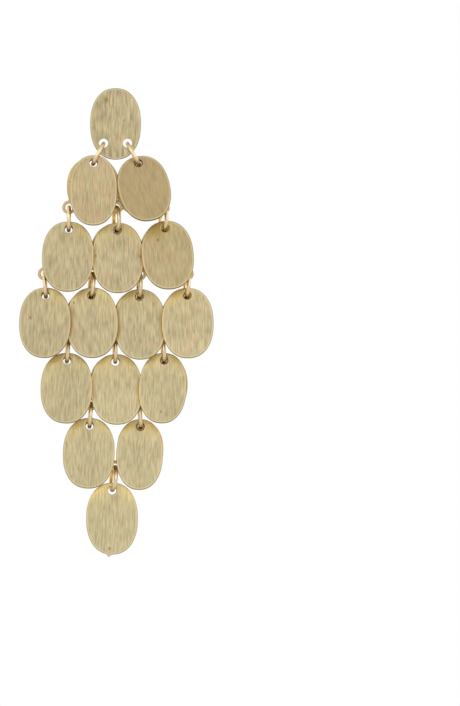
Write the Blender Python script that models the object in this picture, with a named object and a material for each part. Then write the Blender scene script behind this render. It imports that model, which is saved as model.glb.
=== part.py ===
"""Chandelier earring: an oval stud and six tiers of oval discs on jump rings.

Every disc that carries others has a thinner oval plate behind it. That plate
has a hole at the top and a round ear low on each side. A jump ring goes through
the overlapping ears of two neighbours, and carries the disc and the plate of
the next tier through their top holes. The front discs hang freely in front of
the net of plates and rings, leaning with their lower ends towards the viewer.

The front faces -Y, up is +Z, and the wearer's left to right runs along +X.
The origin is where the ear post enters the lobe, on the back of the stud.
"""
from collections import namedtuple
from math import atan2, copysign, cos, hypot, pi, radians, sin, sqrt, tan

import bmesh
import bpy
from mathutils import Matrix, Vector

MM = 0.001

# Stud and its ear post
STUD_WIDTH = 11.1 * MM
STUD_HEIGHT = 15.6 * MM
STUD_THICKNESS = 0.7 * MM
STUD_HOLE_ROOM = 1.1 * MM
STUD_HOLE_SPREAD = 5.2 * MM
STUD_HOLE_DROP = 4.2 * MM
POST_RISE = 2.5 * MM
POST_DIAMETER = 0.9 * MM
POST_LENGTH = 10.5 * MM
POST_TIP = 0.5 * MM

# Front discs
DISC_WIDTH = 11.3 * MM
DISC_HEIGHT = 15.7 * MM
DISC_THICKNESS = 0.6 * MM
DISC_HOLE_ROOM = 0.9 * MM
DISC_HOLE_RIM = 0.8 * MM
DISC_LEAN = 13.0
NUB_WIDTH = 1.1 * MM
NUB_LENGTH = 0.6 * MM
NUB_ASIDE = -0.7 * MM

# Back plates and their ears
PLATE_WIDTH = 11.0 * MM
PLATE_HEIGHT = 12.6 * MM
PLATE_THICKNESS = 0.4 * MM
PLATE_HOLE_RIM = 0.6 * MM
EAR_HOLE_ROOM = 0.7 * MM
EAR_RIM = 0.7 * MM
EAR_DROPS = {2: 9.35 * MM, 3: 9.35 * MM, 4: 9.05 * MM, 5: 9.05 * MM, 6: 8.7 * MM}

# Jump rings
WIRE = 0.9 * MM
RING_OUTER = 6.0 * MM

# Places and clearances
COLUMN_PITCH = 10.53 * MM
CLEARANCE = 0.3 * MM
HOLE_SEAT = 0.1 * MM
EAR_LIFT = 0.05 * MM
LAYERS_BACK = 0.2 * MM

# The power of the ovals: 2 is an ellipse, and more makes their shoulders fuller
FULLNESS = 2.25

# How finely the round forms are cut
OVAL_SIDES = 36
HOLE_SIDES = 14
EAR_SIDES = 8
RING_SIDES = 16
WIRE_SIDES = 6

RING_RADIUS = (RING_OUTER - WIRE) / 2
STUD_MIDDLE = -STUD_THICKNESS / 2

# The holes follow the wire that passes through them, and their places follow
# the metal left beside them.
STUD_HOLE = WIRE + STUD_HOLE_ROOM
STUD_HOLE_LEVEL = -POST_RISE - STUD_HOLE_DROP
DISC_HOLE = WIRE + DISC_HOLE_ROOM
DISC_HOLE_INSET = DISC_HOLE / 2 + DISC_HOLE_RIM
PLATE_HOLE_INSET = DISC_HOLE / 2 + PLATE_HOLE_RIM
EAR_HOLE = WIRE + EAR_HOLE_ROOM
EAR_DIAMETER = EAR_HOLE + 2 * EAR_RIM

# The plates of neighbours lie one behind the other, and their discs keep this
# step too. Depths are measured back from the middle of the rings.
LAYER_STEP = PLATE_THICKNESS + CLEARANCE
LAYER_DEPTHS = (LAYERS_BACK - LAYER_STEP / 2, LAYERS_BACK + LAYER_STEP / 2)

# One row for each hanging pair of a disc and its plate.
#   tier, place  which tier, and which one in it from the left
#   shift        its top hole's shift to the right, as a share of COLUMN_PITCH
#   plate, disc  the layer of each: 0 in front of its neighbours, 1 behind them
#   width, span  the widths of both, as shares of DISC_WIDTH and PLATE_WIDTH
#   roll         turn in its own plane, lower end to the right, in degrees
#   lean         how much further than DISC_LEAN the lower end comes forward
#   yaw          turn about the upright, right edge to the back, in degrees
#   turn         turn of its jump ring, front half to the right, in degrees
Pair = namedtuple("Pair", "tier place shift plate disc width span roll lean yaw turn")
PAIRS = [
    Pair(2, 1, 0.033, 0, 0, 0.92, 1.04, 0.0, 0, 0, 0),
    Pair(2, 2, -0.013, 1, 1, 1.0, 0.9, 12.0, 11, 0, 0),
    Pair(3, 1, 0.026, 0, 0, 1.0, 1.0, -1.5, 0, 0, 2),
    Pair(3, 2, 0.017, 1, 1, 1.0, 1.0, 1.5, 0, 0, 14),
    Pair(3, 3, -0.015, 0, 0, 1.0, 0.94, 5.5, 5, 0, 16),
    Pair(4, 1, 0.054, 1, 0, 1.0, 1.0, 0.0, 0, -4, 0),
    Pair(4, 2, -0.026, 0, 0, 1.0, 1.0, 2.5, 0, -4, 10),
    Pair(4, 3, -0.016, 1, 1, 1.0, 1.0, 1.5, 0, 0, 7),
    Pair(4, 4, -0.036, 0, 0, 1.0, 1.0, 1.0, 0, 0, 9),
    Pair(5, 1, -0.014, 0, 0, 1.0, 1.0, -1.0, 0, 0, 4),
    Pair(5, 2, -0.008, 1, 1, 1.0, 1.0, 2.5, 0, 0, 4),
    Pair(5, 3, 0.004, 0, 0, 0.92, 0.94, -3.0, 0, 0, 4),
    Pair(6, 1, -0.043, 0, 0, 1.0, 1.0, -1.5, 0, 0, 2),
    Pair(6, 2, 0.013, 1, 1, 0.9, 0.92, -1.5, 0, 0, 3),
    Pair(7, 1, -0.077, 0, 0, 1.0, 1.0, 0.0, -9, 0, 12),
]
TIER_SIZES = {2: 2, 3: 3, 4: 4, 5: 3, 6: 2, 7: 1}
LAST_TIER = max(TIER_SIZES)


def metal(name, colour, roughness):
    """A metallic Principled material of one colour and roughness."""
    material = bpy.data.materials.new(name)
    material.use_nodes = True
    shader = material.node_tree.nodes["Principled BSDF"]
    shader.inputs["Base Color"].default_value = (*colour, 1.0)
    shader.inputs["Metallic"].default_value = 1.0
    shader.inputs["Roughness"].default_value = roughness
    return material


def put(name, mesh, material, place, carrier=None):
    """Place a mesh in the scene as a named object, on a carrier if it has one."""
    if not mesh.materials:
        mesh.materials.append(material)
    thing = bpy.data.objects.new(name, mesh)
    if carrier:
        thing.parent = carrier
        place = carrier.matrix_basis.inverted() @ place
    thing.matrix_basis = place
    bpy.context.scene.collection.objects.link(thing)
    return thing


def circle(diameter, centre=(0.0, 0.0), sides=HOLE_SIDES):
    """Points (x, z) round a circle, from its right side over the top."""
    x0, z0 = centre
    turns = [2 * pi * i / sides for i in range(sides)]
    return [(x0 + diameter / 2 * cos(t), z0 + diameter / 2 * sin(t)) for t in turns]


def oval(width, height, centre):
    """Points (x, z) round an upright oval with full shoulders, from its right side over the top."""
    x0, z0 = centre
    points = []
    for x, z in circle(2.0, sides=OVAL_SIDES):
        across = copysign(abs(x) ** (2 / FULLNESS), x)
        upward = copysign(abs(z) ** (2 / FULLNESS), z)
        points.append((x0 + width / 2 * across, z0 + height / 2 * upward))
    return points


def half_across(width, height, away):
    """Half the width of an oval at a level this far from its middle."""
    return width / 2 * (1 - abs(2 * away / height) ** FULLNESS) ** (1 / FULLNESS)


# A pin soldered to the back of a sheet: its foot's points, its centre, and the
# heights and shares of its width that it rises through.
Pin = namedtuple("Pin", "points centre steps")


def sheet(name, outline, holes, thickness, pins=()):
    """A flat sheet in the XZ plane, cut to an outline and pierced by holes.

    Its middle lies at y = 0, and its pins stand on the back face.
    """
    bm = bmesh.new()

    def loop(points, y):
        corners = [bm.verts.new((x, y, z)) for x, z in points]
        edges = [bm.edges.new((a, b)) for a, b in zip(corners, corners[1:] + corners[:1])]
        return corners, edges

    front = [loop(points, -thickness / 2) for points in [outline, *holes]]
    back = [loop(points, thickness / 2) for points in [outline, *holes]]
    feet = [loop(pin.points, thickness / 2) for pin in pins]
    bmesh.ops.triangle_fill(bm, use_beauty=True, edges=[e for _, edges in front for e in edges])
    bmesh.ops.triangle_fill(bm, use_beauty=True, edges=[e for _, edges in back + feet for e in edges])
    for (near, _), (far, _) in zip(front, back):
        for i in range(len(near)):
            bm.faces.new((near[i - 1], near[i], far[i], far[i - 1]))
    for (foot, _), pin in zip(feet, pins):
        x0, z0 = pin.centre
        for height, share in pin.steps:
            level = thickness / 2 + height
            ring = [bm.verts.new((x0 + (x - x0) * share, level, z0 + (z - z0) * share)) for x, z in pin.points]
            for i in range(len(ring)):
                bm.faces.new((foot[i - 1], foot[i], ring[i], ring[i - 1]))
            foot = ring
        bm.faces.new(foot)
    bmesh.ops.recalc_face_normals(bm, faces=bm.faces)
    mesh = bpy.data.meshes.new(name)
    bm.to_mesh(mesh)
    bm.free()
    mesh.shade_smooth()
    mesh.set_sharp_from_angle(angle=radians(35))
    return mesh


def make_stud(material):
    """The oval top plate with its two holes, and the ear post on its back."""
    middle = (0.0, -POST_RISE)
    holes = [
        circle(STUD_HOLE, (side * STUD_HOLE_SPREAD / 2, STUD_HOLE_LEVEL))
        for side in (-1, 1)
    ]
    post = Pin(
        points=circle(POST_DIAMETER),
        centre=(0.0, 0.0),
        steps=[(POST_LENGTH - POST_TIP, 1.0), (POST_LENGTH, 0.4)],
    )
    outline = oval(STUD_WIDTH, STUD_HEIGHT, middle)
    mesh = sheet("stud", outline, holes, STUD_THICKNESS, [post])
    return put("stud", mesh, material, Matrix.Translation((0.0, STUD_MIDDLE, 0.0)))


def disc_mesh(name, width, nub=False):
    """An oval disc whose top hole is at its own origin."""
    centre = (0.0, DISC_HOLE_INSET - DISC_HEIGHT / 2)
    outline = oval(width, DISC_HEIGHT, centre)
    if nub:
        sides = (NUB_ASIDE - NUB_WIDTH / 2, NUB_ASIDE + NUB_WIDTH / 2)
        kept = [(x, z) for x, z in outline if not sides[0] < x < sides[1] or z > centre[1]]
        start = next(i for i, (x, z) in enumerate(kept) if x >= sides[1] and z < centre[1])
        feet = [(x, centre[1] - half_across(DISC_HEIGHT, width, x)) for x in sides]
        tip = (NUB_ASIDE, DISC_HOLE_INSET - DISC_HEIGHT - NUB_LENGTH)
        outline = kept[:start] + [feet[0], tip, feet[1]] + kept[start:]
    return sheet(name, outline, [circle(DISC_HOLE)], DISC_THICKNESS)


def plate_mesh(name, width, ears):
    """A back plate whose top hole is at its own origin.

    ears holds the place (x, z) of each ear's hole. The outline is the oval
    where it lies outside the ears, and the ears' rims where they lie outside
    the oval, in order round the oval's middle.
    """
    centre = (0.0, PLATE_HOLE_INSET - PLATE_HEIGHT / 2)
    runs = []
    for p in oval(width, PLATE_HEIGHT, centre):
        if all(_apart(p, ear) > EAR_DIAMETER / 2 for ear in ears):
            runs.append((_bearing(p, centre), [p]))
    for ear in ears:
        rim = circle(EAR_DIAMETER, ear, 2 * EAR_SIDES)
        bare = [_outside(p, centre, width) for p in rim]
        first = next(i for i in range(len(rim)) if bare[i] and not bare[i - 1])
        arc = [rim[i - len(rim)] for i in range(first, first + len(rim)) if bare[i - len(rim)]]
        runs.append((_bearing(ear, centre), arc))
    points = [p for _, run in sorted(runs, key=lambda run: run[0]) for p in run]
    holes = [circle(DISC_HOLE)] + [circle(EAR_HOLE, ear) for ear in ears]
    return sheet(name, points, holes, PLATE_THICKNESS)


def _apart(p, q):
    return sqrt((p[0] - q[0]) ** 2 + (p[1] - q[1]) ** 2)


def _outside(p, centre, width):
    """Whether a point lies outside a plate's oval."""
    across = abs(2 * (p[0] - centre[0]) / width)
    upward = abs(2 * (p[1] - centre[1]) / PLATE_HEIGHT)
    return across ** FULLNESS + upward ** FULLNESS > 1.0


def _bearing(p, centre):
    return atan2(p[1] - centre[1], p[0] - centre[0])


def ring_mesh(name):
    """A closed round ring in the YZ plane, centred on its own origin."""
    bm = bmesh.new()
    rows = []
    for i in range(RING_SIDES):
        round_angle = 2 * pi * i / RING_SIDES
        row = []
        for j in range(WIRE_SIDES):
            wire_angle = 2 * pi * j / WIRE_SIDES
            reach = RING_RADIUS + WIRE / 2 * cos(wire_angle)
            place = (WIRE / 2 * sin(wire_angle), reach * cos(round_angle), reach * sin(round_angle))
            row.append(bm.verts.new(place))
        rows.append(row)
    for i in range(RING_SIDES):
        for j in range(WIRE_SIDES):
            bm.faces.new((rows[i - 1][j - 1], rows[i][j - 1], rows[i][j], rows[i - 1][j]))
    bmesh.ops.recalc_face_normals(bm, faces=bm.faces)
    mesh = bpy.data.meshes.new(name)
    bm.to_mesh(mesh)
    bm.free()
    mesh.shade_smooth()
    return mesh


def ring_matrix(upper, lower, turn):
    """Where a ring lies that runs from one wire centre (x, z) down to another."""
    dx = upper[0] - lower[0]
    dz = upper[1] - lower[1]
    slant = Vector((0.0, 1.0)).angle_signed(Vector((dx, dz)), 0.0)
    centre = Vector(((upper[0] + lower[0]) / 2, STUD_MIDDLE, (upper[1] + lower[1]) / 2))
    return Matrix.Translation(centre) @ Matrix.Rotation(slant, 4, "Y") @ Matrix.Rotation(turn, 4, "Z")


def wire_place(matrix, turn, depth):
    """Where the lower half of a ring's wire crosses a depth behind its middle."""
    along = depth / cos(turn)
    return matrix @ Vector((0.0, along, -sqrt(RING_RADIUS ** 2 - along ** 2)))


def disc_advance(lean, yaw):
    """How far in front of its plate a disc hangs, so that it clears the plate.

    Leaning brings the disc back at the plate's top edge, and turning brings it
    back at its own edge beside the hole. The two don't meet in one point.
    """
    upright = PLATE_THICKNESS / 2 + CLEARANCE + DISC_THICKNESS / 2 / cos(lean)
    edge = half_across(DISC_WIDTH, DISC_HEIGHT, DISC_HEIGHT / 2 - DISC_HOLE_INSET)
    return upright + hypot(PLATE_HOLE_INSET * tan(lean), edge * sin(yaw))


def make_carrier():
    """The empty that the whole drop swings with, on the line its two top rings turn about.

    The line runs through the middle of the metal that is left between each hole
    of the stud and the stud's lower edge.
    """
    hole_foot = STUD_HOLE_LEVEL - STUD_HOLE / 2
    lower_edge = -POST_RISE - half_across(STUD_HEIGHT, STUD_WIDTH, STUD_HOLE_SPREAD / 2)
    carrier = bpy.data.objects.new("drop_swing", None)
    carrier.matrix_basis = Matrix.Translation((0.0, STUD_MIDDLE, (hole_foot + lower_edge) / 2))
    bpy.context.scene.collection.objects.link(carrier)
    return carrier


def make_drop(carrier, disc_metal, plate_metal, ring_metal):
    """Hang the tiers below the stud, one disc, plate and ring after another."""
    ring = ring_mesh("jump_ring")

    # The anchors of a tier are the places (x, z) that its rings hang from.
    anchors = [(side * STUD_HOLE_SPREAD / 2, STUD_HOLE_LEVEL - HOLE_SEAT) for side in (-1, 1)]
    for tier, count in TIER_SIZES.items():
        last = tier == LAST_TIER
        widens = not last and TIER_SIZES[tier + 1] > count
        pairs = [p for p in PAIRS if p.tier == tier]
        columns = [COLUMN_PITCH * (p.place - (count + 1) / 2 + p.shift) for p in pairs]
        slant = sum(abs(x - a[0]) for x, a in zip(columns, anchors)) / count
        level = anchors[0][1] - sqrt(4 * RING_RADIUS ** 2 - slant ** 2) - HOLE_SEAT
        borders = [(a + b) / 2 for a, b in zip(columns, columns[1:])]
        if widens:
            borders = [columns[0] - COLUMN_PITCH / 2] + borders + [columns[-1] + COLUMN_PITCH / 2]
        for pair, anchor, x in zip(pairs, anchors, columns):
            label = f"{pair.tier}_{pair.place}"
            turn = radians(pair.turn)
            aside = LAYERS_BACK * tan(turn)
            hold = ring_matrix((anchor[0] + aside, anchor[1]), (x + aside, level + HOLE_SEAT), turn)
            put(f"jump_ring_{label}", ring, ring_metal, hold, carrier)

            lean = radians(DISC_LEAN + pair.lean)
            yaw = radians(pair.yaw)
            disc_depth = 0.0 if last else LAYER_DEPTHS[pair.disc] - disc_advance(lean, yaw)
            place = wire_place(hold, turn, disc_depth) - Vector((0.0, 0.0, HOLE_SEAT))
            pose = (
                Matrix.Rotation(yaw, 4, "Z")
                @ Matrix.Rotation(-lean, 4, "X")
                @ Matrix.Rotation(radians(-pair.roll), 4, "Y")
            )
            disc = disc_mesh(f"front_disc_{label}", DISC_WIDTH * pair.width, nub=last)
            put(f"front_disc_{label}", disc, disc_metal, Matrix.Translation(place) @ pose, carrier)

            if not last:
                place = wire_place(hold, turn, LAYER_DEPTHS[pair.plate])
                place.z = level
                reach = [b - place.x for b in borders if abs(b - x) < COLUMN_PITCH * 0.75]
                ears = [(r, -EAR_DROPS[tier]) for r in reach]
                plate = plate_mesh(f"back_plate_{label}", PLATE_WIDTH * pair.span, ears)
                put(f"back_plate_{label}", plate, plate_metal, Matrix.Translation(place), carrier)
        if not last:
            anchors = [(x, level - EAR_DROPS[tier] + EAR_LIFT) for x in borders]


def main():
    for thing in list(bpy.data.objects):
        bpy.data.objects.remove(thing, do_unlink=True)
    make_stud(metal("stud_metal", (0.55, 0.47, 0.29), 0.38))
    make_drop(
        make_carrier(),
        metal("disc_metal", (0.56, 0.48, 0.30), 0.36),
        metal("plate_metal", (0.50, 0.38, 0.20), 0.42),
        metal("ring_metal", (0.58, 0.46, 0.24), 0.28),
    )


main()
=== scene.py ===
# %% [markdown]
# # A chandelier earring of brushed gold discs
#
# The real earring is cut from thin brass sheet, plated in pale gold and brushed lengthwise. An oval stud
# carries six tiers of oval discs, and behind each disc that carries others lies a plate with ears. Round
# jump rings hold it all together. The solids of these pieces are already in the frame. This lesson dresses
# them: each is made again as a fine surface, worked out with numpy from the place of its own solid, and
# each surface gets a brushed metal finish.

# %% Load the frame
from math import pi, radians

import bmesh
import bpy
import numpy as np
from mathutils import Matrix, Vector


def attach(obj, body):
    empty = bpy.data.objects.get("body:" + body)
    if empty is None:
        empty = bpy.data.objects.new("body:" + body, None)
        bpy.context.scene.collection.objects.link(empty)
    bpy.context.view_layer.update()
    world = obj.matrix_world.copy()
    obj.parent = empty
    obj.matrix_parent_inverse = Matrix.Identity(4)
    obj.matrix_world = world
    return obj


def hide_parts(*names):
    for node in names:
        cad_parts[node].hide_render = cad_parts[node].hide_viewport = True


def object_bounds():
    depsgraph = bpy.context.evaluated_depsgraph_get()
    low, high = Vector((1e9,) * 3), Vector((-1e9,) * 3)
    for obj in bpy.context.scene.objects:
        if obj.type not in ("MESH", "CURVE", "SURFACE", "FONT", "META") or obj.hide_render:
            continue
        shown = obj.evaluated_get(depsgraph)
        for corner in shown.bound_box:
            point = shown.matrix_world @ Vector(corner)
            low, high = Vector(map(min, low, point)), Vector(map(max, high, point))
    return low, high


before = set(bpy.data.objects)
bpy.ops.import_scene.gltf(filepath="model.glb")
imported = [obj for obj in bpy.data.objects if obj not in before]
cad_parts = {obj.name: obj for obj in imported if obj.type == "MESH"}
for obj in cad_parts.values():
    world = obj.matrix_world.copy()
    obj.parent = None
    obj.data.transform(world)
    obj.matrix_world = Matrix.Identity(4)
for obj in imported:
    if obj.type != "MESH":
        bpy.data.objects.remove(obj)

MM = 0.001
cad_low, cad_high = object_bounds()
print("solids from", [round(v / MM, 1) for v in cad_low], "to", [round(v / MM, 1) for v in cad_high], "mm")

# %% [markdown]
# ## The camera
#
# The photograph looks straight at the discs from far away, so the ovals stay ovals from top to bottom. A long
# lens a metre and a half away does the same. The camera could be shifted to put the earring at the left of
# the picture. Standing a little to the right and looking straight ahead gives the same view with no shift.

# %% Camera
SCALE = 0.2185 * MM
PICTURE = (460, 706)
POST_IN_PICTURE = (115.6, 112.56)
CAMERA_DISTANCE = 1.5
SENSOR = 36.0

camera_data = bpy.data.cameras.new("camera")
camera_data.sensor_width = SENSOR
camera_data.lens = SENSOR * CAMERA_DISTANCE / (PICTURE[1] * SCALE)
camera = bpy.data.objects.new("camera", camera_data)
camera.location = (
    (PICTURE[0] / 2 - POST_IN_PICTURE[0]) * SCALE,
    -CAMERA_DISTANCE,
    (POST_IN_PICTURE[1] - PICTURE[1] / 2) * SCALE,
)
camera.rotation_euler = (pi / 2, 0, 0)
bpy.context.scene.collection.objects.link(camera)
bpy.context.scene.camera = camera
bpy.context.scene.view_settings.view_transform = "Standard"
print("lens", round(camera_data.lens), "mm")

# %% [markdown]
# ## The light
#
# Brushed metal shows what stands around it more than any lamp. The earring seems to have hung in a white
# tent, so most of the light comes from a pale surround, brightest a little above and duller overhead and
# below. The dull parts give the edges of the discs their darker line. A picture of a studio could be wrapped
# round the scene instead, but tones that depend on the height alone do the same here with six numbers. The
# camera itself sees the surround as plain white.

# %% Surround
SURROUND = [(0.0, 0.70), (0.42, 0.78), (0.50, 0.98), (0.72, 1.06), (0.87, 0.92), (1.0, 0.75)]


def link(tree, source, target):
    tree.links.new(source, target)


def surround():
    """A world whose light depends on the height of its direction alone. The camera sees it as white."""
    world = bpy.data.worlds.new("surround")
    bpy.context.scene.world = world
    world.use_nodes = True
    tree = world.node_tree
    tree.nodes.clear()
    place = tree.nodes.new("ShaderNodeTexCoord")
    split = tree.nodes.new("ShaderNodeSeparateXYZ")
    height = tree.nodes.new("ShaderNodeMapRange")
    height.inputs["From Min"].default_value = -1.0
    ramp = tree.nodes.new("ShaderNodeValToRGB")
    points = ramp.color_ramp.elements
    points[0].position, points[1].position = SURROUND[0][0], SURROUND[-1][0]
    for position, _ in SURROUND[1:-1]:
        points.new(position)
    for point, (_, light) in zip(points, SURROUND):
        point.color = (light, light, light, 1.0)
    lit = tree.nodes.new("ShaderNodeBackground")
    seen = tree.nodes.new("ShaderNodeBackground")
    seen.inputs["Color"].default_value = (1.0, 1.0, 1.0, 1.0)
    ray = tree.nodes.new("ShaderNodeLightPath")
    mix = tree.nodes.new("ShaderNodeMixShader")
    out = tree.nodes.new("ShaderNodeOutputWorld")
    link(tree, place.outputs["Generated"], split.inputs[0])
    link(tree, split.outputs["Z"], height.inputs["Value"])
    link(tree, height.outputs["Result"], ramp.inputs["Fac"])
    link(tree, ramp.outputs["Color"], lit.inputs["Color"])
    link(tree, ray.outputs["Is Camera Ray"], mix.inputs[0])
    link(tree, lit.outputs[0], mix.inputs[1])
    link(tree, seen.outputs[0], mix.inputs[2])
    link(tree, mix.outputs[0], out.inputs[0])


surround()
print("surround of", len(SURROUND), "tones, from straight down to straight up")

# %% [markdown]
# ## Lamps and floor
#
# Two large soft lamps in front add a slight difference from left to right. Small lamps would leave a hard
# glint on each disc, and the photograph shows none. The floor lies far below the hanging earring, sends a
# little light up to it and catches no shadow near it.

# %% Lamps and floor
LAMP_SIZE = 0.7
FLOOR_DROP = 0.2
FLOOR_SIZE = 5.0
FLOOR_ROUGHNESS = 0.9
FLOOR_GRAIN = 40.0
FLOOR_TONES = ((0.80, 0.79, 0.78, 1.0), (0.84, 0.83, 0.82, 1.0))


def lamp(name, place, power):
    """A square soft lamp that looks at the middle of the earring."""
    light = bpy.data.lights.new(name, "AREA")
    light.size = LAMP_SIZE
    light.energy = power
    thing = bpy.data.objects.new(name, light)
    thing.location = place
    middle = (cad_low + cad_high) / 2
    thing.rotation_euler = (middle - Vector(place)).to_track_quat("-Z", "Y").to_euler()
    bpy.context.scene.collection.objects.link(thing)


def floor():
    """A pale floor below the hanging earring."""
    half = FLOOR_SIZE / 2
    level = cad_low.z - FLOOR_DROP
    mesh = bpy.data.meshes.new("floor")
    corners = [(-half, -half, level), (half, -half, level), (half, half, level), (-half, half, level)]
    mesh.from_pydata(corners, [], [(0, 1, 2, 3)])
    paint = bpy.data.materials.new("floor_paint")
    paint.use_nodes = True
    shader = paint.node_tree.nodes["Principled BSDF"]
    shader.inputs["Roughness"].default_value = FLOOR_ROUGHNESS
    grain = paint.node_tree.nodes.new("ShaderNodeTexNoise")
    grain.inputs["Scale"].default_value = FLOOR_GRAIN
    tone = paint.node_tree.nodes.new("ShaderNodeMix")
    tone.data_type = "RGBA"
    tone.inputs["A"].default_value, tone.inputs["B"].default_value = FLOOR_TONES
    link(paint.node_tree, grain.outputs["Fac"], tone.inputs["Factor"])
    link(paint.node_tree, tone.outputs["Result"], shader.inputs["Base Color"])
    mesh.materials.append(paint)
    thing = bpy.data.objects.new("floor", mesh)
    bpy.context.scene.collection.objects.link(thing)


lamp("lamp_left", (-0.9, -1.1, 0.45), 2.3)
lamp("lamp_right", (1.0, -1.0, 0.25), 2.0)
floor()

# %% [markdown]
# ## Nodes for a metal
#
# Sheet and wire are both bare metal, so their finishes are put together from the same few nodes: noise that
# is stretched along the piece, ranges, mixes and bumps. Each piece carries a flat map of itself in
# millimetres, so its scratches follow it however it hangs. A painted image could do the same, but noise stays
# sharp at any distance, and a few numbers change it.

# %% Nodes for a metal
def shade(colour, factor):
    return (*(c * factor for c in colour), 1.0)


class Finish:
    """A metal material that is put together node by node."""

    def __init__(self, name, roughness):
        self.material = bpy.data.materials.new(name)
        self.material.use_nodes = True
        self.tree = self.material.node_tree
        self.shader = self.tree.nodes["Principled BSDF"]
        self.shader.inputs["Metallic"].default_value = 1.0
        self.shader.inputs["Roughness"].default_value = roughness

    def wire(self, source, target):
        self.tree.links.new(source, target)

    def noise(self, across, along, detail=2.0, waver=0.0):
        """Noise on the piece's own map, with so many waves a millimetre across and along it. It may waver."""
        where = self.tree.nodes.new("ShaderNodeUVMap")
        where.uv_map = "grain"
        stretch = self.tree.nodes.new("ShaderNodeMapping")
        stretch.inputs["Scale"].default_value = (across, along, 1.0)
        cloud = self.tree.nodes.new("ShaderNodeTexNoise")
        cloud.inputs["Scale"].default_value = 1.0
        cloud.inputs["Detail"].default_value = detail
        cloud.inputs["Distortion"].default_value = waver
        self.wire(where.outputs[0], stretch.inputs[0])
        self.wire(stretch.outputs[0], cloud.inputs["Vector"])
        return cloud.outputs["Fac"]

    def mark(self, name):
        """A value that each point of the piece carries."""
        node = self.tree.nodes.new("ShaderNodeAttribute")
        node.attribute_name = name
        return node.outputs["Fac"]

    def spread(self, value, low, high, to_low=0.0, to_high=1.0):
        """The value, stretched from one range to another and held inside it."""
        node = self.tree.nodes.new("ShaderNodeMapRange")
        limits = {"From Min": low, "From Max": high, "To Min": to_low, "To Max": to_high}
        for key, limit in limits.items():
            node.inputs[key].default_value = limit
        self.wire(value, node.inputs["Value"])
        return node.outputs["Result"]

    def near(self, name, close, away):
        """One where the offset in millimetres that each point carries is short, zero where it is long."""
        offset = self.tree.nodes.new("ShaderNodeAttribute")
        offset.attribute_name = name
        length = self.tree.nodes.new("ShaderNodeVectorMath")
        length.operation = "LENGTH"
        self.wire(offset.outputs["Vector"], length.inputs[0])
        return self.spread(length.outputs["Value"], away, close)

    def sum(self, a, b, share):
        """a plus a share of b."""
        node = self.tree.nodes.new("ShaderNodeMath")
        node.operation = "MULTIPLY_ADD"
        node.inputs[1].default_value = share
        self.wire(b, node.inputs[0])
        self.wire(a, node.inputs[2])
        return node.outputs[0]

    def mix(self, factor, a, b):
        """Two colours, or a colour socket and a colour, mixed by a factor."""
        node = self.tree.nodes.new("ShaderNodeMix")
        node.data_type = "RGBA"
        self.wire(factor, node.inputs["Factor"])
        for key, colour in (("A", a), ("B", b)):
            if isinstance(colour, tuple):
                node.inputs[key].default_value = colour
            else:
                self.wire(colour, node.inputs[key])
        return node.outputs["Result"]

    def dim(self, colour, name):
        """The colour, lighter or darker by the share of it that each point carries."""
        factor = self.tree.nodes.new("ShaderNodeMath")
        factor.inputs[1].default_value = 1.0
        self.wire(self.mark(name), factor.inputs[0])
        node = self.tree.nodes.new("ShaderNodeVectorMath")
        node.operation = "SCALE"
        self.wire(colour, node.inputs[0])
        self.wire(factor.outputs[0], node.inputs["Scale"])
        return node.outputs["Vector"]

    def bump(self, height, distance, strength=1.0, under=None):
        node = self.tree.nodes.new("ShaderNodeBump")
        node.inputs["Distance"].default_value = distance
        node.inputs["Strength"].default_value = strength
        self.wire(height, node.inputs["Height"])
        if under:
            self.wire(under, node.inputs["Normal"])
        return node.outputs["Normal"]


print("half as light:", shade((0.8, 0.6, 0.4), 0.5))

# %% [markdown]
# ## Brushed gold
#
# A brushed surface is a bundle of fine scratches that all run one way. The scratches could be modelled, but
# they are thinner than a hair, so the stretched noise stands for them: it tips the surface a little, makes it
# here smoother and there rougher, and shades its colour. A mark on each point says how near it is to the cut
# edge, where a painted dark rim stands in for shade, with a painted highlight where the edge turns into the
# face. Other marks say where a painted reflection makes it warmer, where painted shade makes it browner,
# where painted light makes a disc lighter or darker, and where it is specked. A piece without such a mark
# stays plain gold.

# %% Brushed gold
# colours of the sheet: plain and its stains; a painted warm reflection, and a painted reflection on the cut
# edge; painted shade in tan and brown, the brown also for specks; the painted dark rim of the cut edge; and
# the plate's plain gold and the painted shade of its cut edge
GOLD = (0.518, 0.434, 0.252)
PINK = (0.575, 0.420, 0.255)
GREEN = (0.530, 0.464, 0.272)
WARM_REFLECTION = (1.000, 0.775, 0.310)
REFLECTED_AMBER = (0.850, 0.560, 0.200)
SHADE_TAN = (0.462, 0.327, 0.136)
SPECK_AND_SHADE_BROWN = (0.340, 0.200, 0.050)
EDGE_SHADE_OLIVE = (0.340, 0.280, 0.140)
PLATE_GOLD = (0.510, 0.400, 0.230)
PLATE_EDGE_SHADE = (0.50, 0.35, 0.16)

# noises: waves a millimetre across and along, detail and waver
FINE = (2.9, 0.36, 3.0, 0.2)
BROAD = (1.1, 0.10, 2.0, 0.3)
CLOUD = (0.22, 0.12, 2.0)
STAIN = (0.42, 0.30, 2.0)
PITS = (0.9, 0.5, 0.0)

# shares of the noises in a streak, and the ranges of noise that turn into streaks, stains and pits
BROAD_SHARE, CLOUD_SHARE, BLUSH_SHARE = 0.15, 0.26, 0.15
STREAK_RANGE = (0.51, 0.90)
PINK_RANGE, GREEN_RANGE, STAIN_STRENGTH = (0.53, 0.70), (0.47, 0.30), 0.6
PIT_RANGE, PIT_STRENGTH, PIT_SHADE = (0.84, 0.87), 0.6, 0.35

# how far streaks depart from the gold, the stains and the painted warm reflection, and from the roughness
STREAK_SHADE, STAIN_SHADE, WARM_SHADE, STREAK_ROUGH = 0.26, 0.15, 0.16, 0.05
FULL = 0.95

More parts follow.
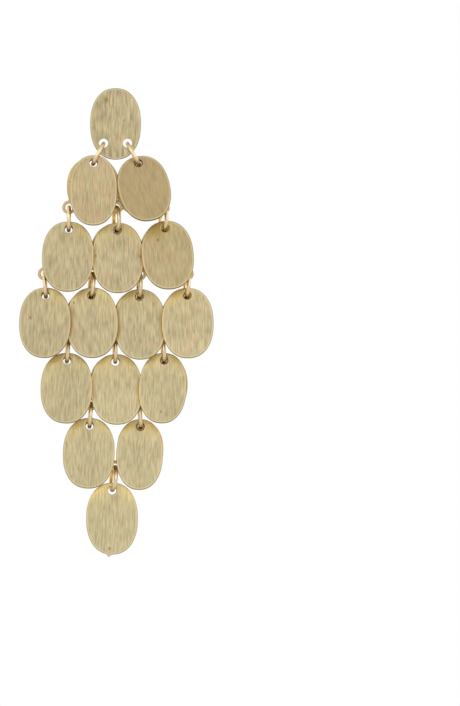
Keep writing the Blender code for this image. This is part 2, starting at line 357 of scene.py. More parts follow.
# millimetres: the reach of a speck, and from the edge the ends of the painted highlight and of the
# painted dark rim
SPECK_REACH = (0.05, 0.35)
EDGE_HIGHLIGHT, HIGHLIGHT_STRENGTH, HIGHLIGHT_SHADE = (0.50, 0.28), 0.7, 1.35
DARK_RIM = (0.17, 0.09)
GRAIN_DEPTH, BROAD_BUMP, FINE_BUMP = 0.03 * MM, 0.5, 0.6


def brushed_gold(name, gold, roughness, contrast=1.0, rim=EDGE_SHADE_OLIVE):
    """Sheet gold: scratches, slow stains, a speck, painted reflection and shade, and a painted cut edge."""
    finish = Finish(name, roughness)
    fine, broad, cloud = finish.noise(*FINE), finish.noise(*BROAD), finish.noise(*CLOUD)
    streak = finish.sum(finish.sum(fine, broad, BROAD_SHARE), cloud, CLOUD_SHARE)
    streak = finish.spread(streak, *STREAK_RANGE)

    def streaked(base, low, high):
        return finish.mix(streak, shade(base, low), shade(base, high))

    colour = streaked(gold, 1 - STREAK_SHADE * contrast, 1 + STREAK_SHADE * contrast)
    stain = finish.sum(finish.noise(*STAIN), finish.mark("blush"), BLUSH_SHARE)
    for stained, limits in ((PINK, PINK_RANGE), (GREEN, GREEN_RANGE)):
        tint = streaked(stained, 1 - STAIN_SHADE, 1 + STAIN_SHADE)
        colour = finish.mix(finish.spread(stain, *limits, 0.0, STAIN_STRENGTH), colour, tint)
    # painted shade: browner and darker on discs whose tilt catches less light
    colour = finish.mix(finish.mark("tone"), colour, shade(SHADE_TAN, 1.0))
    # painted reflection: warm gold near the edge of the disc above, where light is thrown back between discs
    warm = streaked(WARM_REFLECTION, 1 - WARM_SHADE, 1.0)
    # painted shade: brown along a disc that hangs in front, and round the ring's hole on a plate
    for mark, tint in (("painted_light", warm), ("painted_shade", shade(SPECK_AND_SHADE_BROWN, 1.0))):
        colour = finish.mix(finish.spread(finish.mark(mark), 0.0, 1.0, 0.0, FULL), colour, tint)
    pits = finish.spread(finish.noise(*PITS), *PIT_RANGE, 0.0, PIT_STRENGTH)
    colour = finish.mix(pits, colour, shade(gold, PIT_SHADE))
    colour = finish.mix(finish.near("speck", *SPECK_REACH), colour, shade(SPECK_AND_SHADE_BROWN, 1.0))
    edge = finish.mark("edge")
    # painted highlight: a light line where the cut edge turns into the face
    light = finish.spread(edge, *EDGE_HIGHLIGHT, 0.0, HIGHLIGHT_STRENGTH)
    colour = finish.mix(light, colour, shade(gold, HIGHLIGHT_SHADE))
    # on the cut edge: the painted dark rim turns into a painted amber reflection near other discs
    cut = finish.mix(finish.mark("painted_rim_reflection"), shade(rim, 1.0), shade(REFLECTED_AMBER, 1.0))
    # painted dark rim along the cut edge
    colour = finish.mix(finish.spread(edge, *DARK_RIM), colour, cut)
    # painted light and shade: the colour lighter or darker on discs, for how their tilt catches the light
    finish.wire(finish.dim(colour, "painted_tilt_light"), finish.shader.inputs["Base Color"])
    rough = finish.spread(streak, 0.0, 1.0, roughness + STREAK_ROUGH, roughness - STREAK_ROUGH)
    finish.wire(rough, finish.shader.inputs["Roughness"])
    normal = finish.bump(broad, GRAIN_DEPTH, BROAD_BUMP)
    finish.wire(finish.bump(fine, GRAIN_DEPTH, FINE_BUMP, normal), finish.shader.inputs["Normal"])
    return finish.material


disc_gold = brushed_gold("disc_gold", GOLD, roughness=0.38)
stud_gold = brushed_gold("stud_gold", GOLD, roughness=0.38, contrast=1.3)
plate_gold = brushed_gold("plate_gold", PLATE_GOLD, roughness=0.36, rim=PLATE_EDGE_SHADE)
print("finishes", [m.name for m in bpy.data.materials])

# %% [markdown]
# ## Surfaces from grids
#
# Every piece here is a set of grids of points, and each grid is a function of two parameters. Neighbouring
# grids share their border points, so joining them is a matter of finding equal points. That could be done
# with a merge by distance in Blender, but numpy finds them in one sorting step and keeps each point's marks.

# %% Grids to meshes
EQUAL = 1e-4 * MM
FAR = 99.0
CHART_STEP = 40.0


def cells(index):
    """The faces between neighbours in a grid of point numbers that closes on itself sideways."""
    index = np.column_stack((index, index[:, 0]))
    corners = (index[:-1, :-1], index[:-1, 1:], index[1:, 1:], index[1:, :-1])
    return np.stack(corners, axis=-1).reshape(-1, 4)


def weave(grids):
    """Join grids of points into one mesh.

    Each grid is an array of rows by columns of (x, y, z), with a mark for each point or row, and it closes on
    itself sideways. Equal points are merged, and each cell between four neighbours is a face.
    """
    points, marks, faces = [], [], []
    start = 0
    for grid, mark in grids:
        rows, columns = grid.shape[:2]
        faces.append(cells(start + np.arange(rows * columns).reshape(rows, columns)))
        points.append(grid.reshape(-1, 3))
        marks.append(np.broadcast_to(mark, (rows, columns)).ravel())
        start += rows * columns
    points = np.concatenate(points)
    _, first, place = np.unique(np.round(points / EQUAL), axis=0, return_index=True, return_inverse=True)
    return points[first], place.reshape(-1)[np.concatenate(faces)], np.concatenate(marks)[first]


def make_piece(name, body, points, faces, chart, marks, material, caps=(), speck=None):
    """A named mesh with its flat map, its marks and its finish, which takes the place of its solid.

    The speck is each point's offset from the piece's speck in millimetres, far away where it has none.
    """
    mesh = bpy.data.meshes.new(name)
    mesh.from_pydata(points.tolist(), [], faces.tolist() + [list(cap) for cap in caps])
    corners = np.empty(len(mesh.loops), int)
    mesh.loops.foreach_get("vertex_index", corners)
    mesh.uv_layers.new(name="grain").data.foreach_set("uv", chart[corners].astype(np.float32).ravel())
    for key, value in marks.items():
        value = np.broadcast_to(value, len(points)).astype(np.float32)
        mesh.attributes.new(key, "FLOAT", "POINT").data.foreach_set("value", value)
    offset = points / MM + FAR if speck is None else speck
    offsets = mesh.attributes.new("speck", "FLOAT_VECTOR", "POINT")
    offsets.data.foreach_set("vector", offset.astype(np.float32).ravel())
    shell = bmesh.new()
    shell.from_mesh(mesh)
    bmesh.ops.recalc_face_normals(shell, faces=shell.faces)
    shell.to_mesh(mesh)
    shell.free()
    mesh.shade_smooth()
    mesh.materials.append(material)
    piece = bpy.data.objects.new(name, mesh)
    bpy.context.scene.collection.objects.link(piece)
    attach(piece, body)
    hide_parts(name.removesuffix("_fine"))
    return piece


print("a closed grid of 3 by 4 points has", len(cells(np.arange(12).reshape(3, 4))), "faces")

# %% [markdown]
# ## Ovals and softened edges
#
# Discs, plates and the stud are cut from flat sheet, and their ovals are a little fuller than an ellipse. An
# ellipse would be simpler, but it is too narrow at its shoulders beside the photograph. The cut isn't sharp
# either. Its softened edge is a small profile, a quarter circle on each side of the cut, which is carried
# along the outline and along the rim of each hole.

# %% Ovals and softened edges
SHEET_SIDES = 200
FULLNESS = 2.25
EDGE_STEPS = 4


def edge_profile(thickness, softness):
    """Insets and depths from the front face round the cut to the back face.

    A quarter circle of the softness, then the straight wall, then a second quarter circle.
    """
    turn = np.linspace(0.0, pi / 2, EDGE_STEPS + 1)
    inset = softness * (1 - np.sin(turn))
    depth = softness * (1 - np.cos(turn)) - thickness / 2
    return np.concatenate((inset, inset[::-1])), np.concatenate((depth, -depth[::-1]))


def outward(loop):
    """The unit normals of a closed loop against the clock: its chord of two steps, turned outwards."""
    chord = np.roll(loop, -1, axis=0) - np.roll(loop, 1, axis=0)
    normal = np.column_stack((chord[:, 1], -chord[:, 0]))
    return normal / np.linalg.norm(normal, axis=1, keepdims=True)


def oval(width, height, middle, sides=SHEET_SIDES):
    """A closed oval loop of (x, z) that starts at its top and runs against the clock.

    The shares of half width and half height, each to the power of the fullness, add up to one.
    """
    turn = pi / 2 + 2 * pi * np.arange(sides) / sides
    way = np.column_stack((np.cos(turn), np.sin(turn)))
    return np.array(middle) + np.array((width, height)) / 2 * np.sign(way) * np.abs(way) ** (2 / FULLNESS)


def oval_reach(x, z, width, height):
    """How far out points (x, z) lie from an oval's middle: less than one inside the oval, and one on it.

    Their shares of half width and half height, each to the power of the fullness, are added up. The value is
    that sum's root of the same power.
    """
    return (np.abs(2 * x / width) ** FULLNESS + np.abs(2 * z / height) ** FULLNESS) ** (1 / FULLNESS)


print("an oval of 10 by 14 has its first points at", oval(10.0, 14.0, (0.0, -7.0))[:2].round(2).tolist())

# %% [markdown]
# ## Pierced sheet
#
# Each sheet has one to three round holes. A boolean could cut them out, but it leaves long thin faces that
# catch the light badly. Here a flat face with one hole is a ruled surface: straight lines that run from the
# hole's rim out to the outline. A face with more holes is first cut along bent lines into fields of one hole
# each.

# %% Pierced sheet
CUT_POINTS = 24
# where the hole rims' distances start, past the painted dark rim and highlight
HOLE_MARK = 0.50
RULING = np.array([0.0, 0.015, 0.06, 0.16, 0.30, 0.45, 0.60, 0.74, 0.86, 0.95, 0.985, 1.0])


def fields(loop, cuts):
    """The closed loops that a loop falls into along cuts: the cut-off ones first, then the rest.

    A cut runs straight from one point of the loop to a knee, and straight on to another point of the loop.
    """
    parts, rest, last = [], [], 0
    share = np.linspace(0.0, 2.0, CUT_POINTS + 1)[1:-1]
    for a, b, knee in cuts:
        path = np.array((loop[a], knee, loop[b]))
        cut = np.column_stack([np.interp(share, (0.0, 1.0, 2.0), path[:, k]) for k in (0, 1)])
        parts.append(np.vstack((loop[a:b + 1], cut[::-1])))
        rest += [loop[last:a + 1], cut]
        last = b
    return parts + [np.vstack((*rest, loop[last:]))]


def at_depth(flat, depth):
    """Rows of (x, z) made points (x, depth, z)."""
    return np.stack((flat[..., 0], np.broadcast_to(depth, flat.shape[:-1]), flat[..., 1]), axis=-1)


def pierced_sheet(outline, holes, thickness, softness, cuts=()):
    """The surface of a flat sheet with softened edges, as points, faces and marks.

    The outline is a closed loop of (x, z) against the clock. Each hole is a centre and a radius, in the order
    of the fields that the cuts leave. Front and back lie half the thickness before and behind depth 0. The
    mark is the distance to the nearest edge in millimetres. The rims of the holes get no painted dark rim or
    painted highlight, so their distances start at a higher value, past the dark and the light line.
    """
    insets, depths = edge_profile(thickness, softness)
    wall = insets[:, None] / MM
    rim = outline - outward(outline) * insets[:, None, None]
    grids = [(at_depth(rim, depths[:, None]), wall)]
    for loop, (centre, radius) in zip(fields(rim[0], cuts), holes):
        ways = loop - centre
        ways /= np.linalg.norm(ways, axis=1, keepdims=True)
        mouth = centre + ways * (radius + insets)[:, None, None]
        grids.append((at_depth(mouth, depths[:, None]), wall + HOLE_MARK))
        face = mouth[0] + (loop - mouth[0]) * RULING[:, None, None]
        near = np.linalg.norm(face[:, :, None] - outline, axis=-1).min(-1) / MM
        near = np.minimum(near, (np.linalg.norm(face - centre, axis=-1) - radius) / MM + HOLE_MARK)
        grids += [(at_depth(face, side * thickness / 2), near) for side in (-1, 1)]
    return weave(grids)


blank = pierced_sheet(oval(11 * MM, 16 * MM, (0.0, 0.0)), [((0.0, 0.0), MM)], 0.6 * MM, 0.1 * MM)
print("a sheet with one hole has", len(blank[0]), "points and", len(blank[1]), "faces")

# %% [markdown]
# ## Where each disc hangs
#
# The discs lean, roll and turn by a few degrees. Those angles needn't be typed in again: the points of a
# solid spread most along the disc's length, less across it and least through it, so the three main directions
# of that spread are the disc's own. The middle of its width and its top edge then say where it hangs. The tip
# of the lowest disc's point would pull them aside, so it is left out.

# %% Places from the solids
LOWEST = "7_1"
NUB_LENGTH = 0.6 * MM
NUB_LEFT_OUT = 0.9


def labels_of(kind):
    """The numbers of the pieces of one kind, in order."""
    return [node.removeprefix(kind) for node in sorted(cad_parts) if node.startswith(kind)]


def node_points(node):
    """The different points of a solid, as an array."""
    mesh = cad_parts[node].data
    points = np.empty(3 * len(mesh.vertices), np.float32)
    mesh.vertices.foreach_get("co", points)
    return np.unique(np.round(points.reshape(-1, 3).astype(float), 8), axis=0)


def hang_of(node):
    """The middle of a flat solid's top edge, its directions (across, back, up) and its sizes along them."""
    points = node_points(node)
    if node.endswith(LOWEST):
        points = points[points[:, 2] > points[:, 2].min() + NUB_LEFT_OUT * NUB_LENGTH]
    spread = np.linalg.eigh(np.cov((points - points.mean(0)).T))[1]
    back, _, up = spread.T
    back = back * np.sign(back[1])
    up = up * np.sign(up[2])
    across = np.cross(back, up)
    axes = np.array([across, back, up])
    local = points @ axes.T
    low, high = local.min(0), local.max(0)
    middle = (low + high) / 2
    top = np.array([middle[0], middle[1], high[2]]) @ axes
    return top, axes, high - low


labels = labels_of("front_disc_")
hangs = {label: hang_of(f"front_disc_{label}") for label in labels}
for label in ("2_1", "2_2", LOWEST):
    top, axes, size = hangs[label]
    lean = np.degrees(np.arcsin(axes[1][2]))
    print(label, "size", (size / MM).round(2), "mm, lower end forward by", round(float(-lean), 1), "degrees")

# %% [markdown]
# ## How near the neighbours are
#
# The gold looks warmer where the disc above hangs over it, from light thrown back between the discs, and
# browner along the disc beside it, where shade falls. Rendered reflections alone give too little of this, so
# each point also carries how close it comes to the edges of such neighbours, and the colour there is a
# painted reflection and a painted shade. Blender can measure from one mesh to another, but each neighbour is
# an oval in a known place, so a formula does it in a few lines.

# %% Neighbours
DISC_HEIGHT = 15.7 * MM
# fading lengths: painted reflection under the disc above, painted shade beside one, painted rim reflection
REFLECTION_FADE = 0.95 * MM
SIDE_FADE = 0.26 * MM
RIM_FADE, RIM_WARMTH = 0.7 * MM, 0.5


def closeness(points, other, fade):
    """How close points come to a disc's outline.

    It is e to the power of minus their distance from it over a fading length.
    """
    top, axes, size = hangs[other]
    local = (points - top) @ axes.T
    reach = oval_reach(local[:, 0], local[:, 2] + DISC_HEIGHT / 2, size[0], DISC_HEIGHT)
    return np.exp(-np.maximum(reach - 1, 0) * size[0] / 2 / fade)


def painted_light(label, points):
    """How close points of a disc come to others.

    The first value, for a painted warm reflection, is for the discs above, the second, for a painted shade,
    for those in front of its own sides, and the third, for a painted reflection on the cut edge, for those
    above and all of its own tier.
    """
    tier = int(label[0])
    warm, brown, any_side = np.zeros((3, len(points)))
    for other, (top, axes, _) in hangs.items():
        if int(other[0]) == tier - 1:
            # painted warm reflection under the discs of the tier above
            warm = np.maximum(warm, closeness(points, other, REFLECTION_FADE))
        elif int(other[0]) == tier and other != label:
            # painted reflection on the cut edge near any disc of the same tier
            any_side = np.maximum(any_side, closeness(points, other, RIM_FADE))
            # painted shade along the edge of a disc of the same tier that hangs in front
            if axes[1] @ (top - hangs[label][0]) < 0:
                brown = np.maximum(brown, closeness(points, other, SIDE_FADE))
    return warm, brown, np.maximum(warm, RIM_WARMTH * any_side)


top_edge = [round(float(value[0]), 2) for value in painted_light("3_2", hangs["3_2"][0][None])]
print("at the top edge of disc 3_2, warm, brown and amber are", top_edge)

# %% [markdown]
# ## Front discs
#
# A front disc is an oval blank with one hole near its top. It is the piece that shows, so its sheet isn't
# perfectly flat: cutting and brushing by hand leave a slow unevenness, which makes the light slide over it.
# A sum of three long waves, different on each disc, gives that. Some discs are a little browner, lighter or
# darker than the rest, a painted light and shade for how each disc's tilt catches the light, and four have a
# small dark speck. The lowest disc ends in a small point, perhaps left where it was cut from the sheet.

# %% Front discs
DISC_HOLE = 1.8 * MM
DISC_HOLE_INSET = 1.7 * MM
DISC_SOFTNESS = 0.13 * MM
WITHIN = 0.999  # of the solid's width, so that the dressed disc stays inside the box of the solids
RIPPLE = 0.035 * MM
RIPPLE_LENGTHS = (9, 17)
NUB_WIDTH = 1.1 * MM
NUB_ASIDE = -0.7 * MM
BRUSH_TURN = 2.0
# painted shade and light: how much browner, lighter or darker each disc is painted for its tilt
BROWNER = {"2_1": 0.15, "2_2": 0.5, "3_3": 0.3}
LIGHTER = {"4_4": 0.07, "5_2": 0.07, "6_2": 0.05, "7_1": 0.09}
DARKER = {"3_1": 0.04, "4_1": 0.10, "4_2": 0.05, "5_1": 0.03}
TIER_BLUSH = {2: 0.8, 3: 0.1, 4: 0.0, 5: -0.3, 6: -0.7, 7: -0.8}

# specks on the discs' front faces, across and down in millimetres, and how narrow, shallow and long they are
SPECKS = {"3_2": (4.90, -7.80), "3_3": (-1.82, -4.28), "4_1": (-3.19, -6.73), "7_1": (-0.52, -14.41)}
SPECK_DEPTH = -0.3
SPECK_STRETCH = (1.0, 3.0, 0.6)


def ripple(x, z, seed):
    """How far the sheet stands back at (x, z).

    It is the sum of three sine waves, whose directions, lengths from 9 to 17 mm and phases are drawn.
    """
    draw = np.random.default_rng(seed)
    way = draw.uniform(0, pi, 3)
    length = draw.uniform(*RIPPLE_LENGTHS, 3) * MM
    phase = draw.uniform(0, 2 * pi, 3)
    run = x[:, None] * np.cos(way) + z[:, None] * np.sin(way)
    return RIPPLE * np.sin(2 * pi * run / length + phase).sum(1)


def brush_chart(points, seed):
    """The flat map of a sheet in millimetres, turned by a few drawn degrees, in a place of its own."""
    turn = radians(np.random.default_rng(seed).uniform(-BRUSH_TURN, BRUSH_TURN))
    x, z = points[:, 0] / MM, points[:, 2] / MM
    turned = (x * np.cos(turn) - z * np.sin(turn), x * np.sin(turn) + z * np.cos(turn))
    return np.column_stack(turned) + CHART_STEP * seed


def from_speck(points, place, stretch):
    """Offsets of points from a speck at a place in millimetres, stretched in each direction."""
    return (points / MM - np.array(place)) * stretch


def front_disc(label, seed):
    """One disc in the place of its solid."""
    node = f"front_disc_{label}"
    top, axes, size = hangs[label]
    outline = oval(size[0] * WITHIN, DISC_HEIGHT, (0.0, -DISC_HEIGHT / 2))
    if label == LOWEST:
        aside = np.abs(outline[:, 0] - NUB_ASIDE) / (NUB_WIDTH / 2)
        low = outline[:, 1] < -DISC_HEIGHT / 2
        outline[:, 1] -= low * NUB_LENGTH * np.clip(1 - aside, 0, 1)
    hole = ((0.0, -DISC_HOLE_INSET), DISC_HOLE / 2)
    points, faces, edge = pierced_sheet(outline, [hole], size[1], DISC_SOFTNESS)
    chart = brush_chart(points, seed)
    across, down = SPECKS.get(label, (FAR, FAR))
    speck = from_speck(points, (across, SPECK_DEPTH, down), SPECK_STRETCH)
    points[:, 1] += ripple(points[:, 0], points[:, 2], seed)
    points = top + points @ axes
    # masks of painted reflection, painted shade and painted reflection on the cut edge
    warm, brown, painted_rim_reflection = painted_light(label, points)
    # painted light and shade for the disc's tilt
    painted_tilt_light = LIGHTER.get(label, 0.0) - DARKER.get(label, 0.0)
    marks = {"edge": edge, "painted_light": warm, "painted_shade": brown, "painted_rim_reflection": painted_rim_reflection, "painted_tilt_light": painted_tilt_light}
    marks |= {"tone": BROWNER.get(label, 0.0), "blush": TIER_BLUSH[int(label[0])]}
    return make_piece(f"{node}_fine", "drop", points, faces, chart, marks, disc_gold, speck=speck)


discs = [front_disc(label, seed) for seed, label in enumerate(labels)]
print(len(discs), "discs of", len(discs[0].data.polygons), "faces")

# %% [markdown]
# ## The outline of a plate
#
# Each plate is a smaller oval with round ears low on its sides. An ear's rim is a circle that stands out of
# the oval. The outline runs along the oval, over to the circle where the two cross, round it and back, and
# the inner corners are filled a little, as solder fills them. Smoothing the loop a few times does that.

# %% Plate outlines
PLATE_HEIGHT = 12.6 * MM
EAR_DIAMETER = 3.0 * MM
LOOP_SIDES = 720
FILLING = 4
EAR_KNEE = 1.2 * MM


def ear_rim(ear, width):
    """The arc of an ear's rim that stands out of the plate's oval, against the clock."""
    turn = 2 * pi * np.arange(LOOP_SIDES) / LOOP_SIDES
    rim = np.array(ear) + EAR_DIAMETER / 2 * np.column_stack((np.cos(turn), np.sin(turn)))
    out = oval_reach(rim[:, 0], rim[:, 1] + PLATE_HEIGHT / 2, width, PLATE_HEIGHT) > 1
    start = int(np.argmax(out & ~np.roll(out, 1)))
    return np.roll(rim, -start, axis=0)[np.roll(out, -start)]


def plate_outline(width, ears):
    """The oval with its ears, as a loop of evenly spaced points from the top against the clock."""
    loop = oval(width, PLATE_HEIGHT, (0.0, -PLATE_HEIGHT / 2), LOOP_SIDES)
    for ear in ears:
        away = np.linalg.norm(loop - np.array(ear), axis=1) > EAR_DIAMETER / 2
        gap = int(np.argmax(~away))
        loop = np.vstack((loop[:gap][away[:gap]], ear_rim(ear, width), loop[gap:][away[gap:]]))
    ring = np.vstack((loop, loop[:1]))
    run = np.concatenate(([0.0], np.cumsum(np.linalg.norm(np.diff(ring, axis=0), axis=1))))
    even = np.linspace(0.0, run[-1], SHEET_SIDES + 1)[:-1]
    loop = np.column_stack([np.interp(even, run, ring[:, k]) for k in (0, 1)])
    for _ in range(FILLING):
        loop = (np.roll(loop, 1, axis=0) + 2 * loop + np.roll(loop, -1, axis=0)) / 4
    return loop


def ear_cut(loop, ear, width):
    """The cut round the inside of an ear, from one end of its rim to the other.

    Its knee lies behind the ear's hole, so that no straight line from the hole to the cut leaves the plate.
    """
    rim = ear_rim(ear, width)
    ends = [int(np.linalg.norm(loop - end, axis=1).argmin()) for end in (rim[0], rim[-1])]
    out = rim[len(rim) // 2] - ear
    return ends[0], ends[1], ear - out / np.linalg.norm(out) * EAR_KNEE


trial = ear_rim((5.5 * MM, -9.0 * MM), 11.0 * MM)
print("of an ear's rim,", len(trial), "of", LOOP_SIDES, "points stand out of its oval")

# %% [markdown]
# ## Back plates
#
# A plate lies behind each disc that carries others. The places of its ears could be typed in, but its solid
# reaches out to the farthest point of each ear, so they are read from it. The hole for the ring is as wide as
# the disc's on some plates and smaller on others. Round it the plate is painted brown in front, a painted
# shade where little light gets in behind the disc. Near the discs of its tier it carries a painted warm
# reflection, on its face and its cut edge.

# %% Back plates
PLATE_HOLE_INSET = 1.5 * MM
PLATE_SOFTNESS = 0.10 * MM
EAR_HOLE = 1.6 * MM
EAR_SHOWS = 0.1 * MM
UPPER_PART = 0.6
SMALL_HOLES = ("2_2", "3_2", "3_3", "4_2", "4_3", "4_4", "5_3", "6_2")
SMALL_HOLE = 1.1 * MM
SMALL_HOLE_LIFT = 0.25 * MM
# painted warm reflection on the plate's front near its tier's discs: fading length and share
PLATE_FADE, PLATE_WARMTH = 0.8 * MM, 0.7
# painted brown shade round the ring's hole on the plate's front: reach, fade and strength
BROWN_REACH, BROWN_FADE, BROWN_STRENGTH = 1.5, 0.4, 0.85
PLATE_SEED = 50


def back_plate(label, seed):
    """One plate in the place of its solid, with its ears where the solid reaches out past the oval."""
    node = f"back_plate_{label}"
    solid = node_points(node)
    low, high = solid.min(0), solid.max(0)
    top = np.array([solid[solid[:, 2].argmax()][0], (low[1] + high[1]) / 2, high[2]])
    solid = solid - top
    width = 2 * np.abs(solid[solid[:, 2] > -UPPER_PART * PLATE_HEIGHT][:, 0]).max()
    ends = {-1: solid[solid[:, 0].argmin()], 1: solid[solid[:, 0].argmax()]}
    sides = [side for side, end in ends.items() if abs(end[0]) > width / 2 + EAR_SHOWS]
    ears = [np.array((ends[side][0] - side * EAR_DIAMETER / 2, ends[side][2])) for side in sides]
    loop = plate_outline(width, ears)
    cuts = [ear_cut(loop, ear, width) for ear in ears]
    lift, radius = (SMALL_HOLE_LIFT, SMALL_HOLE / 2) if label in SMALL_HOLES else (0.0, DISC_HOLE / 2)
    holes = [(ear, EAR_HOLE / 2) for ear in ears] + [((0.0, lift - PLATE_HOLE_INSET), radius)]
    points, faces, edge = pierced_sheet(loop, holes, high[1] - low[1], PLATE_SOFTNESS, cuts)
    chart = brush_chart(points, seed)
    front = points[:, 1] < 0
    from_hole = np.hypot(points[:, 0], points[:, 2] - holes[-1][0][1]) / MM
    # painted shade round the ring's hole
    brown = BROWN_STRENGTH * front * np.clip((BROWN_REACH - from_hole) / BROWN_FADE, 0, 1)
    points = points + top
    tier = [other for other in labels if other[0] == label[0]]
    # painted warm reflection near the discs of its tier
    warm = PLATE_WARMTH * front * np.max([closeness(points, other, PLATE_FADE) for other in tier], axis=0)
    marks = {"edge": edge, "painted_light": warm, "painted_rim_reflection": warm, "painted_shade": brown}
    return make_piece(f"{node}_fine", "drop", points, faces, chart, marks, plate_gold)


plates = [back_plate(label, PLATE_SEED + i) for i, label in enumerate(labels_of("back_plate_"))]
print(len(plates), "plates of", len(plates[0].data.polygons), "faces")

# %% [markdown]
# ## Drawn wire
#
# Ring wire is drawn through a die, which leaves it smoother than brushed sheet, with faint lines along it. In
# the photograph it is paler in front, deeper gold behind and at its top, where it hangs among the discs, and
# brown at its lowest point, inside the holes that it carries. The deeper gold is a painted reflection of the
# gold round it and the brown a painted shade. Three finishes could show that, but marks on the wire need only
# one.

# %% Drawn wire
# colours in front, on lines along the wire, and of the painted reflection behind; roughness of shiny and of
# dull patches
WIRE_PALE, WIRE_LINE, WIRE_DEEP_REFLECTION = (0.86, 0.70, 0.45), (0.78, 0.62, 0.38), (0.95, 0.68, 0.30)
WIRE_ROUGH = (0.28, 0.40)
LINES, PATCHES = (5.0, 0.15, 2.0), (0.6, 0.5, 2.0)
BEHIND_RANGE, PATCH_RANGE = (0.35, 0.65), (0.35, 0.70)
LINE_DEPTH, LINE_BUMP = 0.006 * MM, 0.5


def wire_gold(name):
    """Wire gold: pale, faint lines along it, small dull patches, painted reflection or shade where marked."""
    finish = Finish(name, WIRE_ROUGH[0])
    lines, patches = finish.noise(*LINES), finish.noise(*PATCHES)
    pale = finish.mix(lines, shade(WIRE_PALE, 1.0), shade(WIRE_LINE, 1.0))
    # painted reflection: deep gold behind and among the discs
    behind = finish.spread(finish.mark("behind"), *BEHIND_RANGE)
    colour = finish.mix(behind, pale, shade(WIRE_DEEP_REFLECTION, 1.0))
    # painted shade: brown at the lowest point
    colour = finish.mix(finish.mark("low"), colour, shade(SPECK_AND_SHADE_BROWN, 1.0))
    finish.wire(colour, finish.shader.inputs["Base Color"])
    finish.wire(finish.spread(patches, *PATCH_RANGE, *WIRE_ROUGH), finish.shader.inputs["Roughness"])
    finish.wire(finish.bump(lines, LINE_DEPTH, LINE_BUMP), finish.shader.inputs["Normal"])
    return finish.material


ring_gold = wire_gold("ring_gold")
print(ring_gold.name, "of", len(ring_gold.node_tree.nodes), "nodes")

# %% [markdown]
# ## Jump rings
#
# A jump ring is round wire bent to a circle and closed where its two ends meet. A torus from Blender's menu
# would have no such joint, so the wire is a circle carried along an arc that stops just short of itself, with
# a flat cap on each end. The joint sits at the back, as a careful maker leaves it. Where the ring lies comes
# from its solid again: its mean is the ring's middle, and its least spread is the ring's axis.

# %% Jump rings
WIRE = 0.9 * MM
RING_RADIUS = 2.55 * MM
RING_STEPS = 96
WIRE_STEPS = 20
RING_JOINT = 0.05 * MM
JOINT_TURN = radians(125)
RING_SEED = 80
TOP_TIER = 2

# the lowest part of a ring, as minus the cosine of the turn from its top, and how brown its painted shade is
LOW_START, LOW_FADE, LOW_BROWN = 0.84, 0.1, 0.8


def jump_ring(label, seed):
    """A circle of the wire's radius carried along an open arc of the ring's radius."""
    node = f"jump_ring_{label}"
    solid = node_points(node)
    middle = solid.mean(0)
    axis = np.linalg.eigh(np.cov((solid - middle).T))[1][:, 0]
    up = np.array((0.0, 0.0, 1.0)) - axis * axis[2]
    up /= np.linalg.norm(up)
    back = np.cross(up, axis)
    back *= np.sign(back[1])
    stop = RING_JOINT / RING_RADIUS / 2
    turn = JOINT_TURN + np.linspace(stop, 2 * pi - stop, RING_STEPS)
    wire = 2 * pi * np.arange(WIRE_STEPS) / WIRE_STEPS
    way = np.cos(turn)[:, None] * up + np.sin(turn)[:, None] * back
    reach = RING_RADIUS + WIRE / 2 * np.cos(wire)
    grid = way[:, None] * reach[None, :, None] + WIRE / 2 * np.sin(wire)[None, :, None] * axis
    index = np.arange(RING_STEPS * WIRE_STEPS).reshape(RING_STEPS, WIRE_STEPS)
    points = middle + grid.reshape(-1, 3)
    across = np.tile(np.abs(wire - pi) * WIRE / 2, RING_STEPS)
    chart = np.column_stack((across, np.repeat(turn * RING_RADIUS, WIRE_STEPS))) / MM + CHART_STEP * seed
    # painted reflection: deeper gold behind, and below the top tier also at the top among the discs
    among_discs = np.cos(turn) if int(label[0]) > TOP_TIER else 0.0
    behind = np.maximum((1 + np.sin(turn)) / 2, among_discs)
    # painted shade: brown at the lowest point, inside the holes
    low = LOW_BROWN * np.clip((-np.cos(turn) - LOW_START) / LOW_FADE, 0, 1)
    marks = {"behind": np.repeat(behind, WIRE_STEPS), "low": np.repeat(low, WIRE_STEPS)}
    caps = (index[0], index[-1])
    return make_piece(f"{node}_fine", "drop", points, cells(index), chart, marks, ring_gold, caps)


rings = [jump_ring(label, RING_SEED + i) for i, label in enumerate(labels_of("jump_ring_"))]
print(len(rings), "rings of", len(rings[0].data.polygons), "faces")

# %% [markdown]
# ## The ear post
#
# The post is a plain pin, soldered to the back of the stud. It is a turned form: a profile of radii and
# depths carried round the post's own axis, with a small foot of solder, a straight shank and a rounded tip. A
# plain cylinder would have neither foot nor tip. The foot starts a little inside the sheet, so the two are
# one.

# %% Ear post
POST_DIAMETER = 0.9 * MM
POST_LENGTH = 10.5 * MM
POST_TIP = 0.4 * MM
SOLDER = 0.45 * MM
POST_SUNK = 0.1 * MM
POST_SIDES = 48
TURN_POINTS = 9


def post_profile():
    """Radii and depths: solder that curves in a quarter circle to the shank, the shank, and a rounded tip."""
    turn = np.linspace(0.0, pi / 2, TURN_POINTS)
    radius, tip = POST_DIAMETER / 2, POST_TIP
    foot = (radius + SOLDER * (1 - np.sin(turn)), SOLDER * (1 - np.cos(turn)))
    end = (radius - tip * (1 - np.cos(turn)), POST_LENGTH - tip + tip * np.sin(turn))
    return np.concatenate((foot[0][:1], foot[0], end[0])), np.concatenate(([-POST_SUNK], foot[1], end[1]))


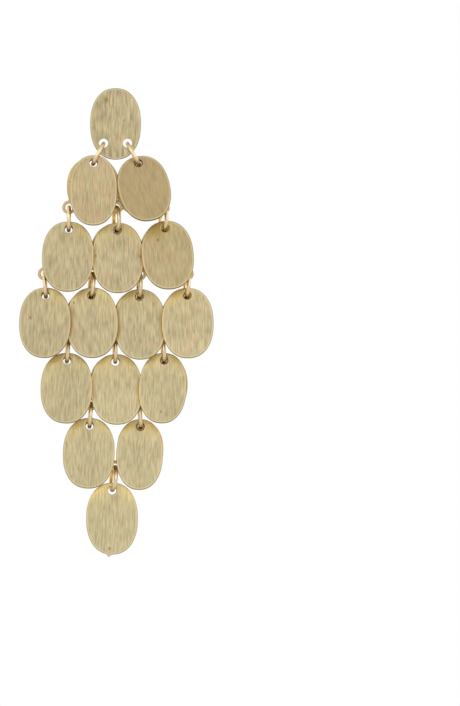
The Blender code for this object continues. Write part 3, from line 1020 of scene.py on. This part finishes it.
def post():
    """The post's points and faces, and the points of its two ends in their order round its axis."""
    radii, depths = post_profile()
    turn = 2 * pi * np.arange(POST_SIDES) / POST_SIDES
    x = radii[:, None] * np.cos(turn)
    z = radii[:, None] * np.sin(turn)
    y = np.broadcast_to(depths[:, None], x.shape)
    points, faces, _ = weave([(np.stack((x, y, z), axis=-1), 0.0)])
    ends = [np.flatnonzero(np.isclose(points[:, 1], depth)) for depth in (depths[0], depths[-1])]
    around = np.arctan2(points[:, 2], points[:, 0])
    return points, faces, [end[np.argsort(around[end])] for end in ends]


shank, shank_faces, shank_ends = post()
print("post of", len(shank_faces), "faces and two ends of", [len(end) for end in shank_ends], "points")

# %% [markdown]
# ## The stud
#
# The stud is one more pierced sheet, cut into a left and a right field for its two holes. It doesn't lean, so
# the box of its solid says where it is and how large. The spread of its points, which serves for the discs,
# would be pulled aside by the post.

# %% Stud
STUD_HOLE = 2.0 * MM
STUD_HOLE_SPREAD = 5.2 * MM
STUD_HOLE_DROP = 12.0 * MM
STUD_SOFTNESS = 0.15 * MM
STUD_RIPPLE = 0.5
STUD_SPECK = (-1.99, -0.35, -2.56)
STUD_SPECK_STRETCH = (0.6, 3.0, 0.4)
STUD_SEED = 99


def stud():
    """The oval sheet with its two holes, and the post on its back."""
    solid = node_points("stud")
    low, high = solid.min(0), solid.max(0)
    width, height = high[0] - low[0], high[2] - low[2]
    thickness = -low[1]
    outline = oval(width, height, (0.0, -height / 2))
    holes = [((side * STUD_HOLE_SPREAD / 2, -STUD_HOLE_DROP), STUD_HOLE / 2) for side in (-1, 1)]
    middle = (0, SHEET_SIDES // 2, (0.0, -height / 2))
    sheet, faces, edge = pierced_sheet(outline, holes, thickness, STUD_SOFTNESS, [middle])
    caps = [end + len(sheet) for end in shank_ends]
    chart = np.vstack((brush_chart(sheet, STUD_SEED), shank[:, [0, 1]] / MM))
    speck = from_speck(np.vstack((sheet, shank + FAR)), STUD_SPECK, STUD_SPECK_STRETCH)
    sheet[:, 1] += ripple(sheet[:, 0], sheet[:, 2], STUD_SEED) * STUD_RIPPLE
    place = np.array([(low[0] + high[0]) / 2, -thickness / 2, high[2]])
    points = np.vstack((sheet + place, shank))
    faces = np.vstack((faces, shank_faces + len(sheet)))
    marks = {"edge": np.concatenate((edge, np.ones(len(shank))))}
    return make_piece("stud_fine", "stud", points, faces, chart, marks, stud_gold, caps, speck)


stud_piece = stud()
print("stud of", len(stud_piece.data.polygons), "faces")

# %% [markdown]
# ## The size
#
# The dressed earring has to fill the same box as its solids. A look at the two would show a large fault only.
# This cell only brings the scene up to date.

# %% Update the scene
bpy.context.view_layer.update()
